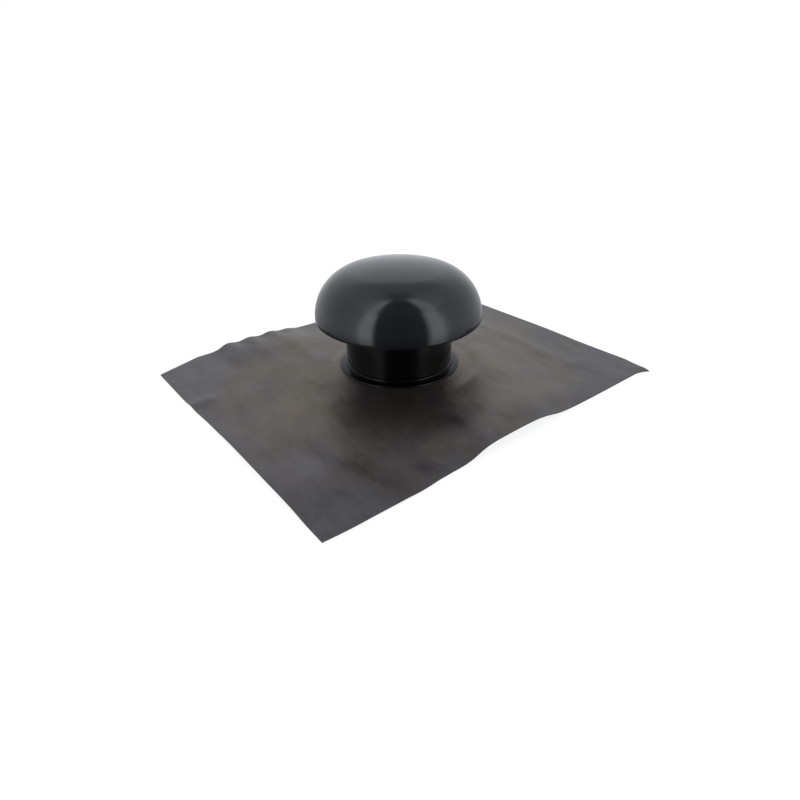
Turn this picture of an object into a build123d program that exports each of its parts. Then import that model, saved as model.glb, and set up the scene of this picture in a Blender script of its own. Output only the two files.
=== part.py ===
from build123d import *
import os
from math import cos, hypot, pi, sqrt, tanh

# Roof vent cap: a domed hood on a flanged sleeve, with a soft flashing sheet bonded under the flange.
# Millimetres, +Z up. The origin is the middle of the sleeve's lower mouth, on the ground.

# Sleeve: slips over the duct, and stops on a rib inside
DUCT_DIAMETER = 125.0
DUCT_PLAY = 0.2
SLEEVE_WALL = 2.6
SLEEVE_HEIGHT = 96.0
STOP_HEIGHT = 55.0
STOP_THICKNESS = 3.0
STOP_DEPTH = 2.5

# Flange round the sleeve, with a sloped bead at the sleeve's foot
STUB_LENGTH = 12.3
FLANGE_WIDTH = 9.5
FLANGE_THICKNESS = 3.2
FLANGE_CHAMFER = 1.0
BEAD_WIDTH = 2.3
BEAD_HEIGHT = 2.8
BEAD_SLOPE = 1.8

# Hood: a shallow crown running into a round shoulder, with a beaded rim
HOOD_DIAMETER = 201.0
CROWN_RADIUS = 251.5
SHOULDER_RADIUS = 57.8
HOOD_WALL = 2.8
RIM_BEAD = 3.0
SLEEVE_OVERLAP = 20.8

# Fins under the hood: each sits on the sleeve's top edge, with a leg that reaches into the bore
FIN_COUNT = 4
FIN_THICKNESS = 3.0
FIN_TURN = 45.0
LEG_WIDTH = 8.4
LEG_DEPTH = 18.0
LEG_PLAY = 0.3

# Flashing sheet: flat under the flange, then falling to the ground in soft folds
SHEET_WIDTH = 480.0
SHEET_LENGTH = 400.0
SHEET_THICKNESS = 1.5
SHEET_HOLE_PLAY = 0.3
BOND_LINE = 0.05
FLAT_MARGIN = 10.0
FALL_LENGTH = 140.0
FRONT_FOLD_HEIGHT = 10.5
BACK_FOLD_HEIGHT = 6.5
LEFT_FOLD_HEIGHT = 2.4
RIGHT_FOLD_HEIGHT = 2.0
RIPPLE_HEIGHT = 1.2
FOLD_CRISPNESS = 4.0
SURFACE_MARGIN = 8.0
SURFACE_COLUMNS = 62
SURFACE_ROWS = 52

# Cut edge of the sheet: a hand-cut rectangle, a little bowed at two edges and short at two corners
FRONT_BOW = 3.0
LEFT_BOW = 3.0
BACK_CORNER_CUT = 20.0
BACK_CORNER_LENGTH = 55.0
FRONT_CORNER_CUT = 8.0
FRONT_CORNER_LENGTH = 35.0

# Folds along each edge, as shares of its half length: foot, crest start, crest end, foot
FRONT_FOLD = (-0.38, -0.13, 0.02, 0.40)
BACK_FOLD = (-0.72, -0.58, -0.33, -0.08)
LEFT_FOLD = (-0.93, -0.70, -0.20, 0.15)
RIGHT_FOLD = (-0.65, -0.10, 0.50, 0.95)
RIPPLE_PITCH = 0.133
RIPPLE_CREST = -0.467

# Sizes that follow from those above
BORE_RADIUS = DUCT_DIAMETER / 2 + DUCT_PLAY
SLEEVE_RADIUS = BORE_RADIUS + SLEEVE_WALL
FLANGE_RADIUS = SLEEVE_RADIUS + FLANGE_WIDTH
FLANGE_TOP = STUB_LENGTH + FLANGE_THICKNESS
BEAD_RADIUS = SLEEVE_RADIUS + BEAD_WIDTH
BEAD_TOP = FLANGE_TOP + BEAD_HEIGHT
HOOD_RADIUS = HOOD_DIAMETER / 2
RIM_HEIGHT = SLEEVE_HEIGHT - SLEEVE_OVERLAP
CROWN_CENTRE = RIM_HEIGHT - sqrt((CROWN_RADIUS - SHOULDER_RADIUS) ** 2 - (HOOD_RADIUS - SHOULDER_RADIUS) ** 2)
LEG_OUTER = BORE_RADIUS - LEG_PLAY
LEG_INNER = LEG_OUTER - LEG_WIDTH
SHEET_HOLE_RADIUS = SLEEVE_RADIUS + SHEET_HOLE_PLAY
FLAT_RADIUS = FLANGE_RADIUS + FLAT_MARGIN
HALF_WIDTH = SHEET_WIDTH / 2
HALF_LENGTH = SHEET_LENGTH / 2


def ring_section(inner, outer, low, high):
    """Section of a plain ring, with the radius along X and the height along Y."""
    return Pos(inner, low) * Rectangle(outer - inner, high - low, align=(Align.MIN, Align.MIN))


def corner(section, radius, height):
    """The corner of a section that lies at a radius and a height."""
    return section.vertices().sort_by_distance((radius, height, 0))[0]


def turned(section):
    """Turns a section once round the vertical axis."""
    return revolve(Plane.XZ * section, Axis.Z)


def make_sleeve():
    """Tube, flange, foot bead and duct stop, turned as one section."""
    section = ring_section(BORE_RADIUS, SLEEVE_RADIUS, 0, SLEEVE_HEIGHT)
    section += ring_section(BORE_RADIUS, FLANGE_RADIUS, STUB_LENGTH, FLANGE_TOP)
    section += ring_section(BORE_RADIUS - STOP_DEPTH, SLEEVE_RADIUS, STOP_HEIGHT, STOP_HEIGHT + STOP_THICKNESS)
    section = chamfer(corner(section, FLANGE_RADIUS, FLANGE_TOP), FLANGE_CHAMFER)
    bead_side = Line((BEAD_RADIUS, FLANGE_TOP), (BEAD_RADIUS, BEAD_TOP - BEAD_SLOPE))
    bead_slope = Line((BEAD_RADIUS, BEAD_TOP - BEAD_SLOPE), (SLEEVE_RADIUS, BEAD_TOP))
    bead_back = Polyline((SLEEVE_RADIUS, BEAD_TOP), (SLEEVE_RADIUS, FLANGE_TOP), (BEAD_RADIUS, FLANGE_TOP))
    section += make_face(bead_side + bead_slope + bead_back)
    return turned(section)


def dome_section(inset):
    """Half section of the space under the dome, a given depth below its outer face."""
    crown = CROWN_RADIUS - inset
    shoulder = SHOULDER_RADIUS - inset
    shoulder_middle = HOOD_RADIUS - SHOULDER_RADIUS
    reach = shoulder_middle / (CROWN_RADIUS - SHOULDER_RADIUS)
    apex = (0, CROWN_CENTRE + crown)
    meeting = (crown * reach, CROWN_CENTRE + crown * sqrt(1 - reach ** 2))
    rim = (shoulder_middle + shoulder, RIM_HEIGHT)
    outline = Line((0, RIM_HEIGHT), apex)
    outline += RadiusArc(apex, meeting, crown)
    outline += RadiusArc(meeting, rim, shoulder)
    outline += Line(rim, (0, RIM_HEIGHT))
    return make_face(outline)


def make_fin(dome):
    """One fin, from the dome down to its seat on the sleeve, with its leg inside the bore."""
    crown_top = CROWN_CENTRE + CROWN_RADIUS
    plate = ring_section(LEG_INNER, HOOD_RADIUS, SLEEVE_HEIGHT, crown_top)
    plate += ring_section(LEG_INNER, LEG_OUTER, SLEEVE_HEIGHT - LEG_DEPTH, crown_top)
    return extrude(Plane.XZ * plate, FIN_THICKNESS / 2, both=True) & dome


def rim_section():
    """Section of the rim's bead: rounded under in flats, and sloped back to the wall inside."""
    outline = Polyline(
        (HOOD_RADIUS, RIM_HEIGHT),
        (HOOD_RADIUS - 0.3 * RIM_BEAD, RIM_HEIGHT - 0.7 * RIM_BEAD),
        (HOOD_RADIUS - RIM_BEAD, RIM_HEIGHT - RIM_BEAD),
        (HOOD_RADIUS - 2 * RIM_BEAD, RIM_HEIGHT),
        (HOOD_RADIUS - HOOD_WALL, RIM_HEIGHT + RIM_BEAD),
        (HOOD_RADIUS, RIM_HEIGHT),
    )
    return make_face(outline)


def make_hood():
    """Domed shell with a beaded rim, and the fins that carry it."""
    shell = dome_section(0) - dome_section(HOOD_WALL) + rim_section()
    fin = make_fin(turned(dome_section(HOOD_WALL / 2)))
    hood = turned(shell)
    for turn in range(FIN_COUNT):
        hood += Rot(Z=FIN_TURN + 360 * turn / FIN_COUNT) * fin
    return hood


def soft_step(place, start, end):
    """Smooth rise from 0 at about the start to 1 at about the end."""
    return 0.5 + 0.5 * tanh(FOLD_CRISPNESS * ((place - start) / (end - start) - 0.5))


def swell(place, foot, crest_start, crest_end, far_foot):
    """Share of a fold's height at a place along an edge: up one flank, along the crest, down the other."""
    return soft_step(place, foot, crest_start) * (1.0 - soft_step(place, crest_end, far_foot))


def sheet_height(x, y):
    """Height of the sheet's upper face over a place on the ground."""
    side = x / HALF_WIDTH
    end = y / HALF_LENGTH
    fallen = soft_step(hypot(x, y), FLAT_RADIUS, FLAT_RADIUS + FALL_LENGTH)
    to_front = soft_step(-y, FLAT_RADIUS, HALF_LENGTH)
    to_back = soft_step(y, FLAT_RADIUS, HALF_LENGTH)
    to_left = soft_step(-x, FLAT_RADIUS, HALF_WIDTH)
    to_right = soft_step(x, FLAT_RADIUS, HALF_WIDTH)
    ripple = RIPPLE_HEIGHT * to_back * cos(2 * pi * (side - RIPPLE_CREST) / RIPPLE_PITCH)

    height = SHEET_THICKNESS + (STUB_LENGTH - BOND_LINE - SHEET_THICKNESS) * (1.0 - fallen)
    height += FRONT_FOLD_HEIGHT * to_front * swell(side, *FRONT_FOLD)
    height += (BACK_FOLD_HEIGHT + ripple) * to_back * swell(side, *BACK_FOLD)
    height += LEFT_FOLD_HEIGHT * to_left * swell(end, *LEFT_FOLD)
    height += RIGHT_FOLD_HEIGHT * to_right * swell(end, *RIGHT_FOLD)
    return height


def sheet_outline():
    """Cut edge of the sheet, seen from above."""
    front_left = (-HALF_WIDTH, -HALF_LENGTH)
    front_right = (HALF_WIDTH - FRONT_CORNER_CUT, -HALF_LENGTH)
    back_left = (-HALF_WIDTH - LEFT_BOW, HALF_LENGTH - BACK_CORNER_CUT)
    front_bow = (-0.75 * HALF_WIDTH, -HALF_LENGTH - FRONT_BOW)
    front_middle = (-0.4 * HALF_WIDTH, -HALF_LENGTH)
    right_start = (HALF_WIDTH, -HALF_LENGTH + FRONT_CORNER_LENGTH)
    back_end = (-HALF_WIDTH + BACK_CORNER_LENGTH, HALF_LENGTH)
    left_bow = (-HALF_WIDTH - LEFT_BOW, 0.55 * HALF_LENGTH)
    left_middle = (-HALF_WIDTH, 0)
    edge = Spline(front_left, front_bow, front_middle)
    edge += Line(front_middle, front_right)
    edge += Line(front_right, right_start)
    edge += Line(right_start, (HALF_WIDTH, HALF_LENGTH))
    edge += Line((HALF_WIDTH, HALF_LENGTH), back_end)
    edge += Line(back_end, back_left)
    edge += Spline(back_left, left_bow, left_middle)
    edge += Line(left_middle, front_left)
    return make_face(edge)


def make_flashing_sheet():
    """Soft sheet cut to its outline, with a round hole for the sleeve's stub."""
    grid = []
    for column in range(SURFACE_COLUMNS + 1):
        x = (column / SURFACE_COLUMNS - 0.5) * (SHEET_WIDTH + 2 * SURFACE_MARGIN)
        grid.append([])
        for row in range(SURFACE_ROWS + 1):
            y = (row / SURFACE_ROWS - 0.5) * (SHEET_LENGTH + 2 * SURFACE_MARGIN)
            grid[column].append(Vector(x, y, sheet_height(x, y)))
    blank = extrude(Face.make_surface_from_array_of_points(grid), SHEET_THICKNESS, dir=(0, 0, -1))
    reach = SLEEVE_HEIGHT
    cut = extrude(sheet_outline(), reach, both=True)
    hole = Cylinder(SHEET_HOLE_RADIUS, 2 * reach)
    return blank & cut - hole


os.makedirs("parts", exist_ok=True)
export_step(make_sleeve(), "parts/sleeve.step")
export_step(make_hood(), "parts/hood.step")
export_step(make_flashing_sheet(), "parts/flashing_sheet.step")
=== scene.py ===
import bmesh
import bpy
from math import acos, asin, atan2, cos, exp, hypot, pi, radians, sin, tanh
from mathutils import Matrix, Vector


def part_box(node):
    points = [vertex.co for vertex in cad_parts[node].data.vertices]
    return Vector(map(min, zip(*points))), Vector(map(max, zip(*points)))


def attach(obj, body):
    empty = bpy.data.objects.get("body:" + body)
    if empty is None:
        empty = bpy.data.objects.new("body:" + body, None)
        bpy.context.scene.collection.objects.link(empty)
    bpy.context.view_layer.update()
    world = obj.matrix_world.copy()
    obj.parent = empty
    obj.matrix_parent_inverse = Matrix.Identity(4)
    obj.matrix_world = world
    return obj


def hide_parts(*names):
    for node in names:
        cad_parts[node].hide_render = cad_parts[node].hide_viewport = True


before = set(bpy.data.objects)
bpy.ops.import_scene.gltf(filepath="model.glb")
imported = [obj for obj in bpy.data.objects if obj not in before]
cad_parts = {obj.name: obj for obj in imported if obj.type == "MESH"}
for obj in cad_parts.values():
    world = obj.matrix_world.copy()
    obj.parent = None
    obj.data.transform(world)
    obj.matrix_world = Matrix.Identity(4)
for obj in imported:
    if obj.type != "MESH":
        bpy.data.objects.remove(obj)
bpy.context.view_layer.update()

MM = 0.001

# Hood sizes
hood_low, hood_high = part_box("hood")
HOOD_RADIUS = hood_high[0]
HOOD_TOP = hood_high[2]
HOOD_WALL = 2.8 * MM
RIM_BEAD = 3.0 * MM
RIM_HEIGHT = hood_low[2] + RIM_BEAD
SHOULDER_RADIUS = 57.8 * MM
SHOULDER_MIDDLE = HOOD_RADIUS - SHOULDER_RADIUS
CROWN_RADIUS = 251.5 * MM
CROWN_CENTRE = HOOD_TOP - CROWN_RADIUS
CROWN_ANGLE = atan2(SHOULDER_MIDDLE, RIM_HEIGHT - CROWN_CENTRE)

# Fins under the hood
FIN_COUNT = 4
FIN_THICKNESS = 3.0 * MM
FIN_TURN = radians(45)
LEG_INNER = 54.0 * MM
LEG_OUTER = 62.4 * MM
LEG_DEPTH = 18.0 * MM

# Sleeve sizes
sleeve_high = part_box("sleeve")[1]
SLEEVE_HEIGHT = sleeve_high[2]
FLANGE_RADIUS = sleeve_high[0]
BORE_RADIUS = 62.7 * MM
SLEEVE_RADIUS = 65.3 * MM
MOUTH_ROUND = 0.6 * MM
STOP_HEIGHT = 55.0 * MM
STOP_THICKNESS = 3.0 * MM
STOP_DEPTH = 2.5 * MM
STUB_LENGTH = 12.3 * MM
FLANGE_THICKNESS = 3.2 * MM
FLANGE_TOP = STUB_LENGTH + FLANGE_THICKNESS
FLANGE_ROUND = 0.9 * MM
SLOPE_WIDTH = 3.4 * MM
SLOPE_DROP = 1.7 * MM
BEAD_RADIUS = 67.6 * MM
BEAD_TOP = 18.3 * MM
BEAD_ROUND = 1.2 * MM
BEAD_FALL = 0.4 * MM

# Steps of the drawn arcs and of their turn round the axis, and how the pieces are joined and shaded
TURN_STEPS = 192
CROWN_STEPS = 24
SHOULDER_STEPS = 40
RIM_STEPS = 18
INNER_SHOULDER_STEPS = 32
INNER_CROWN_STEPS = 16
FIN_STEPS = 16
BEAD_STEPS = 6
ROUND_STEPS = 4
MERGE_DISTANCE = 0.01 * MM
MOULDED_SHARP = radians(35)
SHEET_SHARP = radians(50)

# Flashing sheet: its rectangle and its hole, which starts as a square in the grid
SHEET_WIDTH = 480.0 * MM
SHEET_LENGTH = 400.0 * MM
SHEET_THICKNESS = 1.5 * MM
HALF_WIDTH = SHEET_WIDTH / 2
HALF_LENGTH = SHEET_LENGTH / 2
SHEET_CELL = 2.5 * MM
HOLE_RADIUS = 65.6 * MM
HOLE_SQUARE = 60.0 * MM
HOLE_EASE = 170.0 * MM

# Its fall from the flange, which is steeper on one side, with a small drop at the flange's edge
BOND_LINE = 0.05 * MM
FLAT_MARGIN = 10.0 * MM
FLAT_RADIUS = FLANGE_RADIUS + FLAT_MARGIN
FALL_MARGIN = 3.0 * MM
FALL_START = FLANGE_RADIUS + FALL_MARGIN
FALL_LENGTH = 132.0 * MM
FALL_EASE = 1.5
FALL_FOOT = 1.3
STEEP_HEADING = radians(172)
STEEP_FOCUS = 3
STEEP_GAIN = 0.7
EDGE_DROP = 1.3 * MM
EDGE_WIDTH = 9.0 * MM

# Its folds: foot, start and end of the crest, and far foot, as shares of half the edge they lie along
FOLD_CRISPNESS = 4.0
FRONT_FOLD = (-0.38, -0.13, 0.02, 0.40)
FRONT_FOLD_HEIGHT = 10.2 * MM
BACK_FOLD = (-0.72, -0.58, -0.33, -0.08)
BACK_FOLD_HEIGHT = 6.5 * MM
LEFT_FOLD = (-0.93, -0.70, -0.20, 0.15)
LEFT_FOLD_HEIGHT = 2.4 * MM
RIGHT_FOLD = (-0.65, -0.10, 0.50, 0.95)
RIGHT_FOLD_HEIGHT = 2.0 * MM
RIPPLE_HEIGHT = 1.2 * MM
RIPPLE_PITCH = 0.133
RIPPLE_CREST = -0.467
RIPPLE_DEPTH = 40.0 * MM

# Its hand-cut edges: two are bowed, two corners are cut short, and one corner ends in a nib
EDGE_SHIFT = 1.0 * MM
FRONT_BOW = 3.0 * MM
FRONT_BOW_REACH = 144.0 * MM
LEFT_BOW = 3.0 * MM
LEFT_BOW_REACH = 110.0 * MM
BACK_CORNER_CUT = 20.0 * MM
BACK_CORNER_LENGTH = 55.0 * MM
FRONT_CORNER_CUT = 8.0 * MM
FRONT_CORNER_LENGTH = 35.0 * MM
NIB_REACH = 7.5 * MM
NIB_WIDTH = 22.0 * MM

# Packing creases that run from front to back, as place, start and end
CREASES = (
    (-110.0 * MM, 20.0 * MM, 170.0 * MM),
    (-72.0 * MM, 70.0 * MM, 160.0 * MM),
    (174.0 * MM, -130.0 * MM, 40.0 * MM),
)
CREASE_HEIGHT = 0.9 * MM
CREASE_WIDTH = 24.0 * MM

# Low ridge at the right of the flange, and a ripple and a pucker at the edges
RIDGE_PLACE = 62.0 * MM
RIDGE_START = -166.0 * MM
RIDGE_END = -58.0 * MM
RIDGE_HEIGHT = 5.0 * MM
RIDGE_WIDTH = 100.0 * MM
RIDGE_FADE = RIDGE_WIDTH / 2
FRONT_RIPPLE_PLACE = -114.0 * MM
FRONT_RIPPLE_HEIGHT = 0.7 * MM
FRONT_RIPPLE_WIDTH = 26.0 * MM
FRONT_RIPPLE_DEPTH = 60.0 * MM
PUCKER_PLACE = 78.0 * MM
PUCKER_HEIGHT = 1.6 * MM
PUCKER_WIDTH = 20.0 * MM
PUCKER_DEPTH = 50.0 * MM

# Towards the front left corner the sheet bellies out, and rises once more beyond the fall's foot
MOUND_PLACE = (-104.0 * MM, -116.0 * MM)
MOUND_HEIGHT = 2.6 * MM
MOUND_WIDTH = 92.0 * MM
RISE_HEADING = radians(-163)
RISE_PLACES = (180.0 * MM, 218.0 * MM, 222.0 * MM, 280.0 * MM)
RISE_HEIGHT = 1.5 * MM
RISE_START = 95.0 * MM
RISE_END = 140.0 * MM

# Curled front right corner, and slow waves as length, heading and start, with angles in radians
CURL_HEIGHT = 1.5 * MM
CURL_LENGTH = 26.0 * MM
WAVES = ((93.0 * MM, 0.4, 0.0), (71.0 * MM, 2.1, 1.3), (57.0 * MM, 1.2, 2.9), (43.0 * MM, 2.8, 4.4))
WAVE_HEIGHT = 0.1 * MM
WAVE_FADE = (0.8, 1.0)

# Camera, solved from the outline of the sheet, the flange and the hood's rim
LENS = 25.04
CAMERA_AZIMUTH = -0.6674
CAMERA_ELEVATION = 0.5278
CAMERA_ROLL = -0.0151
CAMERA_OFFSET = (0.88 * MM, -40.27 * MM, 712.0 * MM)

# Floor, just under the sheet
FLOOR_SIZE = 4.0
FLOOR_HEIGHT = -0.5 * MM
FLOOR_GLOW = 0.85

# Studio brightness by degrees round the object, anticlockwise from above, with the camera at 0
STUDIO_TINT = "#f5f9ff"
STUDIO_TOP = 2.5
STUDIO_ZENITH = 0.35
STUDIO_WALL = (
    (-180, 1.0), (-160, 0.93), (-140, 0.84), (-90, 0.82), (-70, 0.95), (-58, 1.25),
    (-50, 2.4), (-37, 2.4), (-31, 0.17), (0, 0.1), (36, 0.15), (45, 2.3),
    (59, 2.35), (69, 1.15), (80, 0.86), (140, 0.8), (160, 0.93), (180, 1.0),
)
STUDIO_CEILING = (
    (-180, 0.62), (-150, 0.66), (-120, 0.82), (-90, 0.93), (-70, 1.15), (-58, 1.5),
    (-50, 2.1), (-42, 2.1), (-33, 0.25), (0, 0.15), (39, 0.2), (50, 1.9),
    (66, 2.0), (74, 1.3), (90, 1.0), (120, 0.82), (150, 0.64), (180, 0.62),
)

# Elevations between which the studio fades to wall, ceiling and zenith, and the share of light left below
LOW_FADE = (radians(-27), radians(1))
CEILING_FADE = (radians(38), radians(50))
ZENITH_FADE = (radians(72), radians(86))
LOW_SHARE = 0.5

# Sockets of a Mix node for its two colours and for their mix
COLOUR_A = 6
COLOUR_B = 7
COLOUR_MIX = 2


def linear(hex_colour):
    """Linear RGBA of an sRGB hex colour."""
    channels = [int(hex_colour[i:i + 2], 16) / 255 for i in (1, 3, 5)]
    return [c / 12.92 if c <= 0.04045 else ((c + 0.055) / 1.055) ** 2.4 for c in channels] + [1.0]


def feed(tree, node, inputs):
    """Sets a node's inputs: each is a value, or the socket that feeds it."""
    for socket, value in inputs.items():
        if isinstance(value, bpy.types.NodeSocket):
            tree.links.new(value, node.inputs[socket])
        else:
            node.inputs[socket].default_value = value


def add_node(tree, kind, inputs=None, **settings):
    """Adds a node with its settings and its inputs."""
    node = tree.nodes.new(kind)
    for name, value in settings.items():
        setattr(node, name, value)
    feed(tree, node, inputs or {})
    return node


# Drawing a section and turning it

def start_section(name, radius, height):
    """A new piece with one point of its section, in edit mode."""
    bpy.ops.object.select_all(action="DESELECT")
    bpy.ops.mesh.primitive_plane_add(size=MM)
    piece = bpy.context.object
    piece.name = name
    piece.data.name = name
    bpy.ops.object.mode_set(mode="EDIT")
    bpy.ops.mesh.merge(type="CENTER")
    bpy.ops.transform.translate(value=(radius, 0, height))
    return piece


def line_to(piece, radius, height):
    """Draws the section on, straight from its end to a radius and a height."""
    end = next(v.co.copy() for v in bmesh.from_edit_mesh(piece.data).verts if v.select)
    step = Vector((radius, 0, height)) - end
    bpy.ops.mesh.extrude_region_move(TRANSFORM_OT_translate={"value": step})


def arc_about(radius, height, turn, steps):
    """Draws the section on by an arc about a centre; a positive turn runs from +X to +Z."""
    bpy.ops.mesh.spin(steps=steps, angle=turn, center=(radius, 0, height), axis=(0, 1, 0))


def turn_section():
    """Turns the drawn section once round the vertical axis."""
    bpy.ops.mesh.select_all(action="SELECT")
    bpy.ops.mesh.spin(steps=TURN_STEPS, angle=2 * pi, center=(0, 0, 0), axis=(0, 0, 1))
    bpy.ops.mesh.select_all(action="SELECT")
    bpy.ops.mesh.remove_doubles(threshold=MERGE_DISTANCE)
    bpy.ops.mesh.normals_make_consistent(inside=False)
    bpy.ops.object.mode_set(mode="OBJECT")


def smooth(piece, sharp):
    """Shades a piece smooth, and keeps edges that turn by more than this angle."""
    bpy.ops.object.select_all(action="DESELECT")
    piece.select_set(True)
    bpy.context.view_layer.objects.active = piece
    bpy.ops.object.shade_smooth_by_angle(angle=sharp)


# The hood

def make_fins():
    """Four fins under the dome, each with a seat on the sleeve and a leg inside its bore."""
    in_wall = SHOULDER_RADIUS - HOOD_WALL / 2
    seat_angle = asin((SLEEVE_HEIGHT - RIM_HEIGHT) / in_wall)
    inner_angle = acos((LEG_INNER - SHOULDER_MIDDLE) / in_wall)
    fins = start_section("fins", LEG_INNER, SLEEVE_HEIGHT - LEG_DEPTH)
    line_to(fins, LEG_OUTER, SLEEVE_HEIGHT - LEG_DEPTH)
    line_to(fins, LEG_OUTER, SLEEVE_HEIGHT)
    line_to(fins, SHOULDER_MIDDLE + in_wall * cos(seat_angle), SLEEVE_HEIGHT)
    arc_about(SHOULDER_MIDDLE, RIM_HEIGHT, inner_angle - seat_angle, FIN_STEPS)
    line_to(fins, LEG_INNER, SLEEVE_HEIGHT - LEG_DEPTH)
    bpy.ops.mesh.select_all(action="SELECT")
    bpy.ops.mesh.remove_doubles(threshold=MERGE_DISTANCE)
    bpy.ops.mesh.edge_face_add()
    bpy.ops.transform.translate(value=(0, -FIN_THICKNESS / 2, 0))
    bpy.ops.mesh.extrude_region_move(TRANSFORM_OT_translate={"value": (0, FIN_THICKNESS, 0)})
    bpy.ops.mesh.select_all(action="SELECT")
    bpy.ops.mesh.normals_make_consistent(inside=False)
    bpy.ops.transform.rotate(value=FIN_TURN, orient_axis="Z", center_override=(0, 0, 0))
    others = FIN_COUNT - 1
    bpy.ops.mesh.spin(
        steps=others, dupli=True, angle=2 * pi * others / FIN_COUNT, center=(0, 0, 0), axis=(0, 0, 1)
    )
    bpy.ops.object.mode_set(mode="OBJECT")
    return fins


def make_hood():
    """Dome with a round rim bead, turned as one section, and the fins moulded on under it."""
    hood = start_section("hood_shell", 0, HOOD_TOP)
    arc_about(0, CROWN_CENTRE, -CROWN_ANGLE, CROWN_STEPS)
    arc_about(SHOULDER_MIDDLE, RIM_HEIGHT, CROWN_ANGLE - pi / 2, SHOULDER_STEPS)
    arc_about(HOOD_RADIUS - RIM_BEAD, RIM_HEIGHT, -1.5 * pi, RIM_STEPS)
    inner = SHOULDER_RADIUS - HOOD_WALL
    bead_angle = asin(RIM_BEAD / inner)
    line_to(hood, SHOULDER_MIDDLE + inner * cos(bead_angle), RIM_HEIGHT + RIM_BEAD)
    arc_about(SHOULDER_MIDDLE, RIM_HEIGHT, pi / 2 - CROWN_ANGLE - bead_angle, INNER_SHOULDER_STEPS)
    arc_about(0, CROWN_CENTRE, CROWN_ANGLE, INNER_CROWN_STEPS)
    turn_section()
    fins = make_fins()
    bpy.ops.object.select_all(action="DESELECT")
    fins.select_set(True)
    hood.select_set(True)
    bpy.context.view_layer.objects.active = hood
    bpy.ops.object.join()
    smooth(hood, MOULDED_SHARP)
    return hood


# The sleeve

def make_sleeve():
    """Tube with a duct stop inside, a foot bead and a flange whose edge slopes down."""
    sleeve = start_section("sleeve_tube", BORE_RADIUS, 0)
    line_to(sleeve, BORE_RADIUS, STOP_HEIGHT)
    line_to(sleeve, BORE_RADIUS - STOP_DEPTH, STOP_HEIGHT)
    line_to(sleeve, BORE_RADIUS - STOP_DEPTH, STOP_HEIGHT + STOP_THICKNESS)
    line_to(sleeve, BORE_RADIUS, STOP_HEIGHT + STOP_THICKNESS)
    line_to(sleeve, BORE_RADIUS, SLEEVE_HEIGHT - MOUTH_ROUND)
    arc_about(BORE_RADIUS + MOUTH_ROUND, SLEEVE_HEIGHT - MOUTH_ROUND, -pi / 2, ROUND_STEPS)
    line_to(sleeve, SLEEVE_RADIUS - MOUTH_ROUND, SLEEVE_HEIGHT)
    arc_about(SLEEVE_RADIUS - MOUTH_ROUND, SLEEVE_HEIGHT - MOUTH_ROUND, -pi / 2, ROUND_STEPS)
    line_to(sleeve, SLEEVE_RADIUS, BEAD_TOP)
    line_to(sleeve, BEAD_RADIUS - BEAD_ROUND, BEAD_TOP - BEAD_FALL)
    arc_about(BEAD_RADIUS - BEAD_ROUND, BEAD_TOP - BEAD_FALL - BEAD_ROUND, -pi / 2, BEAD_STEPS)
    line_to(sleeve, BEAD_RADIUS, FLANGE_TOP)
    line_to(sleeve, FLANGE_RADIUS - SLOPE_WIDTH, FLANGE_TOP)
    line_to(sleeve, FLANGE_RADIUS - FLANGE_ROUND, FLANGE_TOP - SLOPE_DROP)
    arc_about(FLANGE_RADIUS - FLANGE_ROUND, FLANGE_TOP - SLOPE_DROP - FLANGE_ROUND, -pi / 2, ROUND_STEPS)
    line_to(sleeve, FLANGE_RADIUS, STUB_LENGTH)
    line_to(sleeve, SLEEVE_RADIUS, STUB_LENGTH)
    line_to(sleeve, SLEEVE_RADIUS, 0)
    line_to(sleeve, BORE_RADIUS, 0)
    turn_section()
    smooth(sleeve, MOULDED_SHARP)
    return sleeve


# The flashing sheet

def soft_step(place, start, end):
    """A smooth rise from 0 to 1 between two places."""
    return 0.5 + 0.5 * tanh(FOLD_CRISPNESS * ((place - start) / (end - start) - 0.5))


def swell(place, foot, crest_start, crest_end, far_foot):
    """A smooth hump with a level crest."""
    return soft_step(place, foot, crest_start) * (1.0 - soft_step(place, crest_end, far_foot))


def bell(distance, width):
    """A low rounded ridge, 1 on its line and near 0 a width away."""
    return exp(-(2.0 * distance / width) ** 2)


def sheet_height(x, y):
    """Height of the sheet's upper face: it falls from the flange and lies in folds at its edges."""
    side = x / HALF_WIDTH
    end = y / HALF_LENGTH
    out = min(max((hypot(x, y) - FALL_START) / FALL_LENGTH, 0.0), 1.0)
    to_steep = max(0.0, cos(atan2(y, x) - STEEP_HEADING)) ** STEEP_FOCUS
    fallen = 1.0 - (1.0 - out ** (FALL_EASE - STEEP_GAIN * to_steep)) ** FALL_FOOT
    to_front = soft_step(-y, FLAT_RADIUS, HALF_LENGTH)
    to_back = soft_step(y, FLAT_RADIUS, HALF_LENGTH)
    to_left = soft_step(-x, FLAT_RADIUS, HALF_WIDTH)
    to_right = soft_step(x, FLAT_RADIUS, HALF_WIDTH)
    at_back = soft_step(y, HALF_LENGTH - RIPPLE_DEPTH, HALF_LENGTH)
    ripple = RIPPLE_HEIGHT * at_back * cos(2 * pi * (side - RIPPLE_CREST) / RIPPLE_PITCH)
    stepped = soft_step(hypot(x, y), FALL_START, FALL_START + EDGE_WIDTH)
    height = SHEET_THICKNESS + EDGE_DROP * (1.0 - stepped)
    height += (STUB_LENGTH - BOND_LINE - SHEET_THICKNESS - EDGE_DROP) * (1.0 - fallen)
    height += FRONT_FOLD_HEIGHT * to_front * swell(side, *FRONT_FOLD)
    height += (BACK_FOLD_HEIGHT + ripple) * to_back * swell(side, *BACK_FOLD)
    height += LEFT_FOLD_HEIGHT * to_left * swell(end, *LEFT_FOLD)
    height += RIGHT_FOLD_HEIGHT * to_right * swell(end, *RIGHT_FOLD)
    return height


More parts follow.
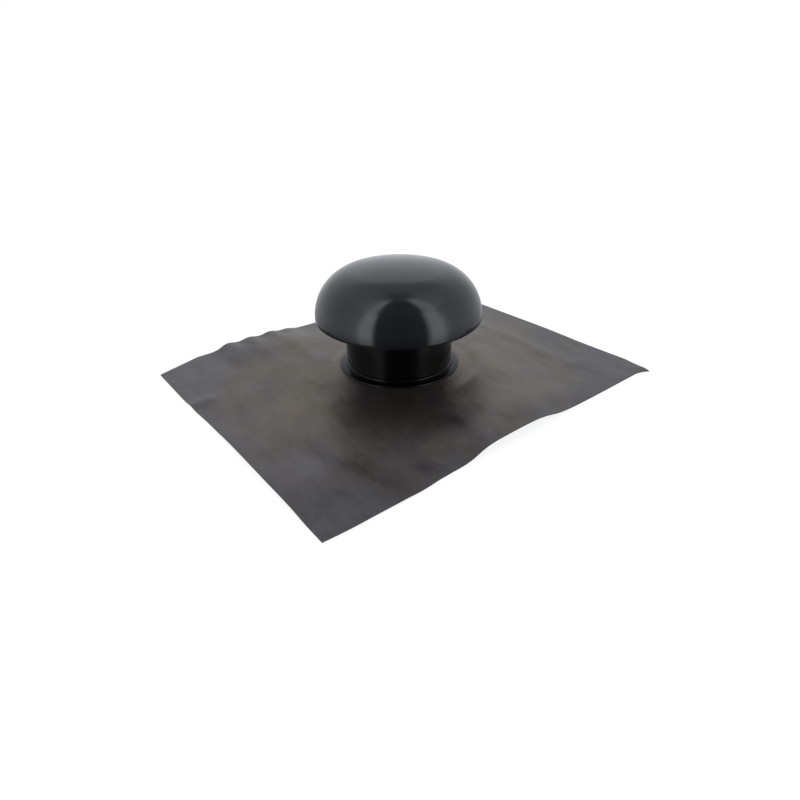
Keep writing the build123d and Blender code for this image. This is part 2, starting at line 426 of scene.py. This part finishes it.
def small_forms(x, y):
    """Height of the sheet's finer forms, from its creases to its slow waves, clear of the flange."""
    height = 0.0
    for place, start, end in CREASES:
        run = swell(y, start - CREASE_WIDTH, start, end, end + CREASE_WIDTH)
        height += CREASE_HEIGHT * run * bell(x - place, CREASE_WIDTH)
    run = swell(y, RIDGE_START - RIDGE_FADE, RIDGE_START, RIDGE_END, RIDGE_END + RIDGE_FADE)
    height += RIDGE_HEIGHT * run * bell(x - RIDGE_PLACE, RIDGE_WIDTH)
    at_front = soft_step(-y, HALF_LENGTH - FRONT_RIPPLE_DEPTH, HALF_LENGTH)
    height += FRONT_RIPPLE_HEIGHT * at_front * bell(x - FRONT_RIPPLE_PLACE, FRONT_RIPPLE_WIDTH)
    at_left = soft_step(-x, HALF_WIDTH - PUCKER_DEPTH, HALF_WIDTH)
    height += PUCKER_HEIGHT * at_left * bell(y - PUCKER_PLACE, PUCKER_WIDTH)
    height += MOUND_HEIGHT * bell(hypot(x - MOUND_PLACE[0], y - MOUND_PLACE[1]), MOUND_WIDTH)
    outwards = x * cos(RISE_HEADING) + y * sin(RISE_HEADING)
    height += RISE_HEIGHT * swell(outwards, *RISE_PLACES) * soft_step(-y, RISE_START, RISE_END)
    from_corner = hypot(x - HALF_WIDTH + FRONT_CORNER_CUT, y + HALF_LENGTH)
    height += CURL_HEIGHT * max(0.0, 1.0 - from_corner / CURL_LENGTH) ** 2
    inside = 1.0 - soft_step(max(abs(x) / HALF_WIDTH, abs(y) / HALF_LENGTH), *WAVE_FADE)
    for length, heading, start in WAVES:
        along = x * cos(heading) + y * sin(heading)
        height += WAVE_HEIGHT * inside * sin(2 * pi * along / length + start)
    clear = soft_step(hypot(x, y), FLAT_RADIUS, FLAT_RADIUS + CREASE_WIDTH)
    return height * clear


def sheet_plan(x, y):
    """Moves a point of the plain rectangle so that the hole is round and the edges follow the real cut."""
    reach = max(abs(x), abs(y))
    roundness = 1.0 - soft_step(reach, HOLE_SQUARE, HOLE_EASE)
    roundness = 1.0 if reach <= HOLE_SQUARE + SHEET_CELL / 2 else roundness
    pull = reach / hypot(x, y) * HOLE_RADIUS / HOLE_SQUARE
    along = x + roundness * (pull - 1.0) * x
    across = y + roundness * (pull - 1.0) * y
    front_rise = max(0.0, -y / HALF_LENGTH) ** 2
    back_rise = max(0.0, y / HALF_LENGTH) ** 2
    left_rise = max(0.0, -x / HALF_WIDTH) ** 2
    right_rise = max(0.0, x / HALF_WIDTH) ** 2
    from_left = x + HALF_WIDTH
    bow = sin(pi * from_left / FRONT_BOW_REACH) if from_left < FRONT_BOW_REACH else 0.0
    across -= EDGE_SHIFT * (front_rise + back_rise) + FRONT_BOW * bow * front_rise
    past_back = max(0.0, BACK_CORNER_LENGTH - from_left) / BACK_CORNER_LENGTH
    across -= BACK_CORNER_CUT * past_back * back_rise
    along -= LEFT_BOW * soft_step(y, 0, LEFT_BOW_REACH) * left_rise
    past_front = max(0.0, FRONT_CORNER_LENGTH - HALF_LENGTH - y) / FRONT_CORNER_LENGTH
    along -= FRONT_CORNER_CUT * past_front * right_rise
    across -= NIB_REACH * max(0.0, 1.0 - (HALF_WIDTH - x) / NIB_WIDTH) ** 2 * front_rise
    return along, across


def make_sheet():
    """One sheet on a fine grid, with its hole, its fall from the flange and its folds."""
    bpy.ops.object.select_all(action="DESELECT")
    columns = round(SHEET_WIDTH / SHEET_CELL)
    rows = round(SHEET_LENGTH / SHEET_CELL)
    bpy.ops.mesh.primitive_grid_add(x_subdivisions=columns, y_subdivisions=rows, size=1)
    sheet = bpy.context.object
    sheet.name = "flashing_membrane"
    sheet.data.name = "flashing_membrane"
    bpy.ops.object.mode_set(mode="EDIT")
    bpy.ops.transform.resize(value=(SHEET_WIDTH, SHEET_LENGTH, 1))
    bpy.ops.mesh.select_all(action="DESELECT")
    plan = bmesh.from_edit_mesh(sheet.data)
    for face in plan.faces:
        middle = face.calc_center_median()
        face.select_set(max(abs(middle.x), abs(middle.y)) < HOLE_SQUARE)
    bmesh.update_edit_mesh(sheet.data)
    bpy.ops.mesh.delete(type="FACE")
    bpy.ops.object.mode_set(mode="OBJECT")
    for point in sheet.data.vertices:
        x, y = sheet_plan(point.co.x, point.co.y)
        point.co = (x, y, sheet_height(x, y) + small_forms(x, y))
    wall = sheet.modifiers.new("wall", "SOLIDIFY")
    wall.thickness = SHEET_THICKNESS
    wall.offset = -1.0
    bpy.ops.object.modifier_apply(modifier=wall.name)
    smooth(sheet, SHEET_SHARP)
    return sheet


# Materials

def start_material(name):
    """A new material, its node tree, its shader and the piece's own coordinates."""
    material = bpy.data.materials.new(name)
    material.use_nodes = True
    tree = material.node_tree
    place = add_node(tree, "ShaderNodeTexCoord").outputs["Object"]
    return material, tree, tree.nodes["Principled BSDF"], place


def hood_plastic():
    """Moulded PVC, slate grey: a dark, faintly blue body under a smooth gloss with a trace of orange peel."""
    material, tree, shader, place = start_material("moulded_pvc_slate")
    cloud_size = 35 * MM
    rub_size = 9 * MM
    peel_size = 2.2 * MM
    peel_depth = 0.02 * MM
    cloud = add_node(tree, "ShaderNodeTexNoise", {"Vector": place, "Scale": 1 / cloud_size, "Detail": 3.0})
    body = add_node(tree, "ShaderNodeMix", {
        "Factor": cloud.outputs["Fac"], COLOUR_A: linear("#151619"), COLOUR_B: linear("#181a1f")
    }, data_type="RGBA")
    rub = add_node(tree, "ShaderNodeTexNoise", {"Vector": place, "Scale": 1 / rub_size, "Detail": 4.0})
    gloss = add_node(tree, "ShaderNodeMapRange", {
        "Value": rub.outputs["Fac"], "To Min": 0.09, "To Max": 0.15
    })
    peel = add_node(tree, "ShaderNodeTexNoise", {"Vector": place, "Scale": 1 / peel_size, "Detail": 2.0})
    bump = add_node(tree, "ShaderNodeBump", {
        "Height": peel.outputs["Fac"], "Strength": 0.25, "Distance": peel_depth
    })
    feed(tree, shader, {
        "IOR": 1.5, "Base Color": body.outputs[COLOUR_MIX],
        "Roughness": gloss.outputs["Result"], "Normal": bump.outputs["Normal"]
    })
    return material


def sleeve_plastic():
    """Moulded PVC, black: almost no colour of its own, with thin clean highlights and faint draw marks."""
    material, tree, shader, place = start_material("moulded_pvc_black")
    cloud_size = 25 * MM
    # Draw marks are finer than this, and are drawn coarser so that they show
    mark_size = 1.6 * MM
    mark_depth = 0.02 * MM
    along_tube = (1.0, 1.0, 0.04)
    cloud = add_node(tree, "ShaderNodeTexNoise", {"Vector": place, "Scale": 1 / cloud_size, "Detail": 3.0})
    body = add_node(tree, "ShaderNodeMix", {
        "Factor": cloud.outputs["Fac"], COLOUR_A: linear("#020202"), COLOUR_B: linear("#060606")
    }, data_type="RGBA")
    upright = add_node(tree, "ShaderNodeMapping", {"Vector": place, "Scale": along_tube})
    marks = add_node(tree, "ShaderNodeTexNoise", {
        "Vector": upright.outputs[0], "Scale": 1 / mark_size, "Detail": 3.0
    })
    gloss = add_node(tree, "ShaderNodeMapRange", {
        "Value": marks.outputs["Fac"], "To Min": 0.16, "To Max": 0.26
    })
    bump = add_node(tree, "ShaderNodeBump", {
        "Height": marks.outputs["Fac"], "Strength": 0.3, "Distance": mark_depth
    })
    feed(tree, shader, {
        "IOR": 1.45, "Specular IOR Level": 0.3, "Base Color": body.outputs[COLOUR_MIX],
        "Roughness": gloss.outputs["Result"], "Normal": bump.outputs["Normal"]
    })
    return material


def sheet_membrane():
    """Calendered rubber: brown-black with a streaked, cloudy half gloss, bluer towards its edges."""
    material, tree, shader, place = start_material("calendered_rubber")
    patch_size = 60 * MM
    streak_size = 17 * MM
    streak_depth = 0.5 * MM
    cloud_size = 38 * MM
    # The grain of the rolls is finer than this, and is drawn coarser so that it shows
    grain_size = 3.5 * MM
    grain_depth = 0.08 * MM
    along_rolling = (1.0, 0.4, 1.0)
    warm_reach = 160 * MM
    cool_reach = 285 * MM
    flat_oval = (1.0, 1.2, 0.0)

    # Warm round the flange and cool towards the edges, with ragged patches between
    patches = add_node(tree, "ShaderNodeTexNoise", {"Vector": place, "Scale": 1 / patch_size, "Detail": 3.0})
    oval = add_node(tree, "ShaderNodeVectorMath", {0: place, 1: flat_oval}, operation="MULTIPLY")
    outwards = add_node(tree, "ShaderNodeVectorMath", {0: oval.outputs[0]}, operation="LENGTH")
    inner = add_node(tree, "ShaderNodeMapRange", {
        "Value": outwards.outputs["Value"], "From Min": warm_reach, "From Max": cool_reach,
        "To Min": 0.9, "To Max": 0.0
    })
    spread = add_node(tree, "ShaderNodeMapRange", {
        "Value": patches.outputs["Fac"], "From Min": 0.3, "From Max": 0.7, "To Min": -0.4, "To Max": 0.4
    })
    warm = add_node(tree, "ShaderNodeMath", {
        0: inner.outputs["Result"], 1: spread.outputs["Result"]
    }, operation="ADD", use_clamp=True)
    body = add_node(tree, "ShaderNodeMix", {
        "Factor": warm.outputs[0], COLOUR_A: linear("#1b1a20"), COLOUR_B: linear("#231d19")
    }, data_type="RGBA")
    sheen = add_node(tree, "ShaderNodeMix", {
        "Factor": warm.outputs[0], COLOUR_A: linear("#ece4ea"), COLOUR_B: linear("#ffebd1")
    }, data_type="RGBA")

    # A bloom of streaks and clouds dulls the gloss in places
    rolled = add_node(tree, "ShaderNodeMapping", {"Vector": place, "Scale": along_rolling})
    streaks = add_node(tree, "ShaderNodeTexNoise", {
        "Vector": rolled.outputs[0], "Scale": 1 / streak_size, "Detail": 6.0, "Roughness": 0.7
    })
    cloud = add_node(tree, "ShaderNodeTexNoise", {
        "Vector": place, "Scale": 1 / cloud_size, "Detail": 6.0, "Roughness": 0.7
    })
    haze = add_node(tree, "ShaderNodeMath", {
        0: streaks.outputs["Fac"], 1: cloud.outputs["Fac"]
    }, operation="ADD")
    bloom = add_node(tree, "ShaderNodeMapRange", {
        "Value": haze.outputs[0], "From Min": 0.74, "From Max": 1.2, "To Min": 0.62, "To Max": 1.0
    })
    clouded = add_node(tree, "ShaderNodeMix", {
        "Factor": 1.0, COLOUR_A: sheen.outputs[COLOUR_MIX], COLOUR_B: bloom.outputs["Result"]
    }, data_type="RGBA", blend_type="MULTIPLY")
    gloss = add_node(tree, "ShaderNodeMapRange", {
        "Value": cloud.outputs["Fac"], "From Min": 0.3, "From Max": 0.7, "To Min": 0.31, "To Max": 0.41
    })

    # Shallow dents along the streaks, and the grain over them
    dents = add_node(tree, "ShaderNodeBump", {
        "Height": streaks.outputs["Fac"], "Strength": 1.0, "Distance": streak_depth
    })
    grain = add_node(tree, "ShaderNodeTexNoise", {"Vector": place, "Scale": 1 / grain_size, "Detail": 3.0})
    bump = add_node(tree, "ShaderNodeBump", {
        "Height": grain.outputs["Fac"], "Strength": 0.5, "Distance": grain_depth,
        "Normal": dents.outputs["Normal"]
    })
    feed(tree, shader, {
        "IOR": 2.1, "Base Color": body.outputs[COLOUR_MIX], "Specular Tint": clouded.outputs[COLOUR_MIX],
        "Roughness": gloss.outputs["Result"], "Normal": bump.outputs["Normal"]
    })
    return material


def dress(piece, node, material):
    """Gives a piece its finish, and puts it in place of its solid."""
    piece.data.materials.clear()
    piece.data.materials.append(material)
    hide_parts(node)
    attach(piece, "root")


# Floor, studio and camera

def make_floor():
    """White paper: pale to the camera, with the object's soft shadow, and clear where gloss mirrors it."""
    bpy.ops.object.select_all(action="DESELECT")
    bpy.ops.mesh.primitive_plane_add(size=FLOOR_SIZE, location=(0, 0, FLOOR_HEIGHT))
    floor = bpy.context.object
    floor.name = "floor"
    look = bpy.data.materials.new("white_paper")
    look.use_nodes = True
    tree = look.node_tree
    tree.nodes.remove(tree.nodes["Principled BSDF"])
    rays = add_node(tree, "ShaderNodeLightPath").outputs
    paper = add_node(tree, "ShaderNodeBsdfDiffuse", {"Color": linear("#e8e8e8")})
    shade = add_node(tree, "ShaderNodeBsdfDiffuse", {"Color": linear("#868686")})
    glow = add_node(tree, "ShaderNodeEmission", {"Strength": FLOOR_GLOW})
    seen = add_node(tree, "ShaderNodeAddShader", {0: shade.outputs[0], 1: glow.outputs[0]})
    through = add_node(tree, "ShaderNodeBsdfTransparent")
    by_camera = add_node(tree, "ShaderNodeMixShader", {
        0: rays["Is Camera Ray"], 1: paper.outputs[0], 2: seen.outputs[0]
    })
    by_gloss = add_node(tree, "ShaderNodeMixShader", {
        0: rays["Is Glossy Ray"], 1: by_camera.outputs[0], 2: through.outputs[0]
    })
    feed(tree, tree.nodes["Material Output"], {"Surface": by_gloss.outputs[0]})
    floor.data.materials.append(look)


def studio_colour(level):
    """Colour of a studio level, as a share of the brightest."""
    return [level / STUDIO_TOP * channel for channel in linear(STUDIO_TINT)[:3]] + [1.0]


def make_studio():
    """White studio: a bright wall, two tall soft lights and a dark side towards the camera."""
    world = bpy.data.worlds.new("studio")
    bpy.context.scene.world = world
    world.use_nodes = True
    tree = world.node_tree
    direction = add_node(tree, "ShaderNodeTexCoord").outputs["Generated"]
    to_camera = CAMERA_AZIMUTH - pi / 2
    turned = add_node(tree, "ShaderNodeMapping", {
        "Vector": direction, "Rotation": (0, 0, -to_camera)
    }, vector_type="VECTOR")
    axes = add_node(tree, "ShaderNodeSeparateXYZ", {0: turned.outputs[0]}).outputs
    azimuth = add_node(tree, "ShaderNodeMath", {0: axes["Y"], 1: axes["X"]}, operation="ARCTAN2")
    around = add_node(tree, "ShaderNodeMapRange", {
        "Value": azimuth.outputs[0], "From Min": -pi, "From Max": pi
    })
    elevation = add_node(tree, "ShaderNodeMath", {0: axes["Z"]}, operation="ARCSINE").outputs[0]

    # Brightness round the object, on the wall and on the ceiling
    bands = []
    for levels in (STUDIO_WALL, STUDIO_CEILING):
        band = add_node(tree, "ShaderNodeValToRGB", {"Fac": around.outputs["Result"]})
        stops = band.color_ramp.elements
        for degrees, _ in levels[1:-1]:
            stops.new((degrees + 180) / 360)
        for stop, (_, level) in zip(stops, levels):
            stop.color = studio_colour(level)
        bands.append(band.outputs["Color"])

    # From the wall up to the zenith, and down to the weak light from below
    up = add_node(tree, "ShaderNodeMapRange", {
        "Value": elevation, "From Min": CEILING_FADE[0], "From Max": CEILING_FADE[1]
    }, interpolation_type="SMOOTHSTEP")
    sides = add_node(tree, "ShaderNodeMix", {
        "Factor": up.outputs["Result"], COLOUR_A: bands[0], COLOUR_B: bands[1]
    }, data_type="RGBA")
    overhead = add_node(tree, "ShaderNodeMapRange", {
        "Value": elevation, "From Min": ZENITH_FADE[0], "From Max": ZENITH_FADE[1]
    }, interpolation_type="SMOOTHSTEP")
    dome = add_node(tree, "ShaderNodeMix", {
        "Factor": overhead.outputs["Result"], COLOUR_A: sides.outputs[COLOUR_MIX],
        COLOUR_B: studio_colour(STUDIO_ZENITH)
    }, data_type="RGBA")
    low = add_node(tree, "ShaderNodeMapRange", {
        "Value": elevation, "From Min": LOW_FADE[0], "From Max": LOW_FADE[1],
        "To Min": LOW_SHARE * STUDIO_TOP, "To Max": STUDIO_TOP
    }, interpolation_type="SMOOTHSTEP")
    surround = tree.nodes["Background"]
    feed(tree, surround, {"Color": dome.outputs[COLOUR_MIX], "Strength": low.outputs["Result"]})

    # Plain white where the camera looks past the floor
    white = add_node(tree, "ShaderNodeBackground", {"Color": (1, 1, 1, 1), "Strength": 1.0})
    rays = add_node(tree, "ShaderNodeLightPath").outputs
    seen = add_node(tree, "ShaderNodeMixShader", {
        0: rays["Is Camera Ray"], 1: surround.outputs[0], 2: white.outputs[0]
    })
    feed(tree, tree.nodes["World Output"], {"Surface": seen.outputs[0]})


def make_camera():
    """The camera at the photograph's place, with its small roll."""
    data = bpy.data.cameras.new("camera")
    data.lens = LENS
    camera = bpy.data.objects.new("camera", data)
    bpy.context.collection.objects.link(camera)
    turn, rise, roll = CAMERA_AZIMUTH, CAMERA_ELEVATION, CAMERA_ROLL
    level = Vector((cos(turn), sin(turn), 0))
    back = Vector((sin(turn) * cos(rise), -cos(turn) * cos(rise), sin(rise)))
    upright = back.cross(level)
    right = cos(roll) * level + sin(roll) * upright
    top = cos(roll) * upright - sin(roll) * level
    camera.matrix_world = Matrix((right, top, back)).transposed().to_4x4()
    camera.location = CAMERA_OFFSET[0] * right + CAMERA_OFFSET[1] * top + CAMERA_OFFSET[2] * back
    bpy.context.scene.camera = camera


hood = make_hood()
sleeve = make_sleeve()
sheet = make_sheet()
dress(hood, "hood", hood_plastic())
dress(sleeve, "sleeve", sleeve_plastic())
dress(sheet, "flashing_sheet", sheet_membrane())
make_floor()
make_studio()
make_camera()
bpy.context.scene.view_settings.view_transform = "Standard"
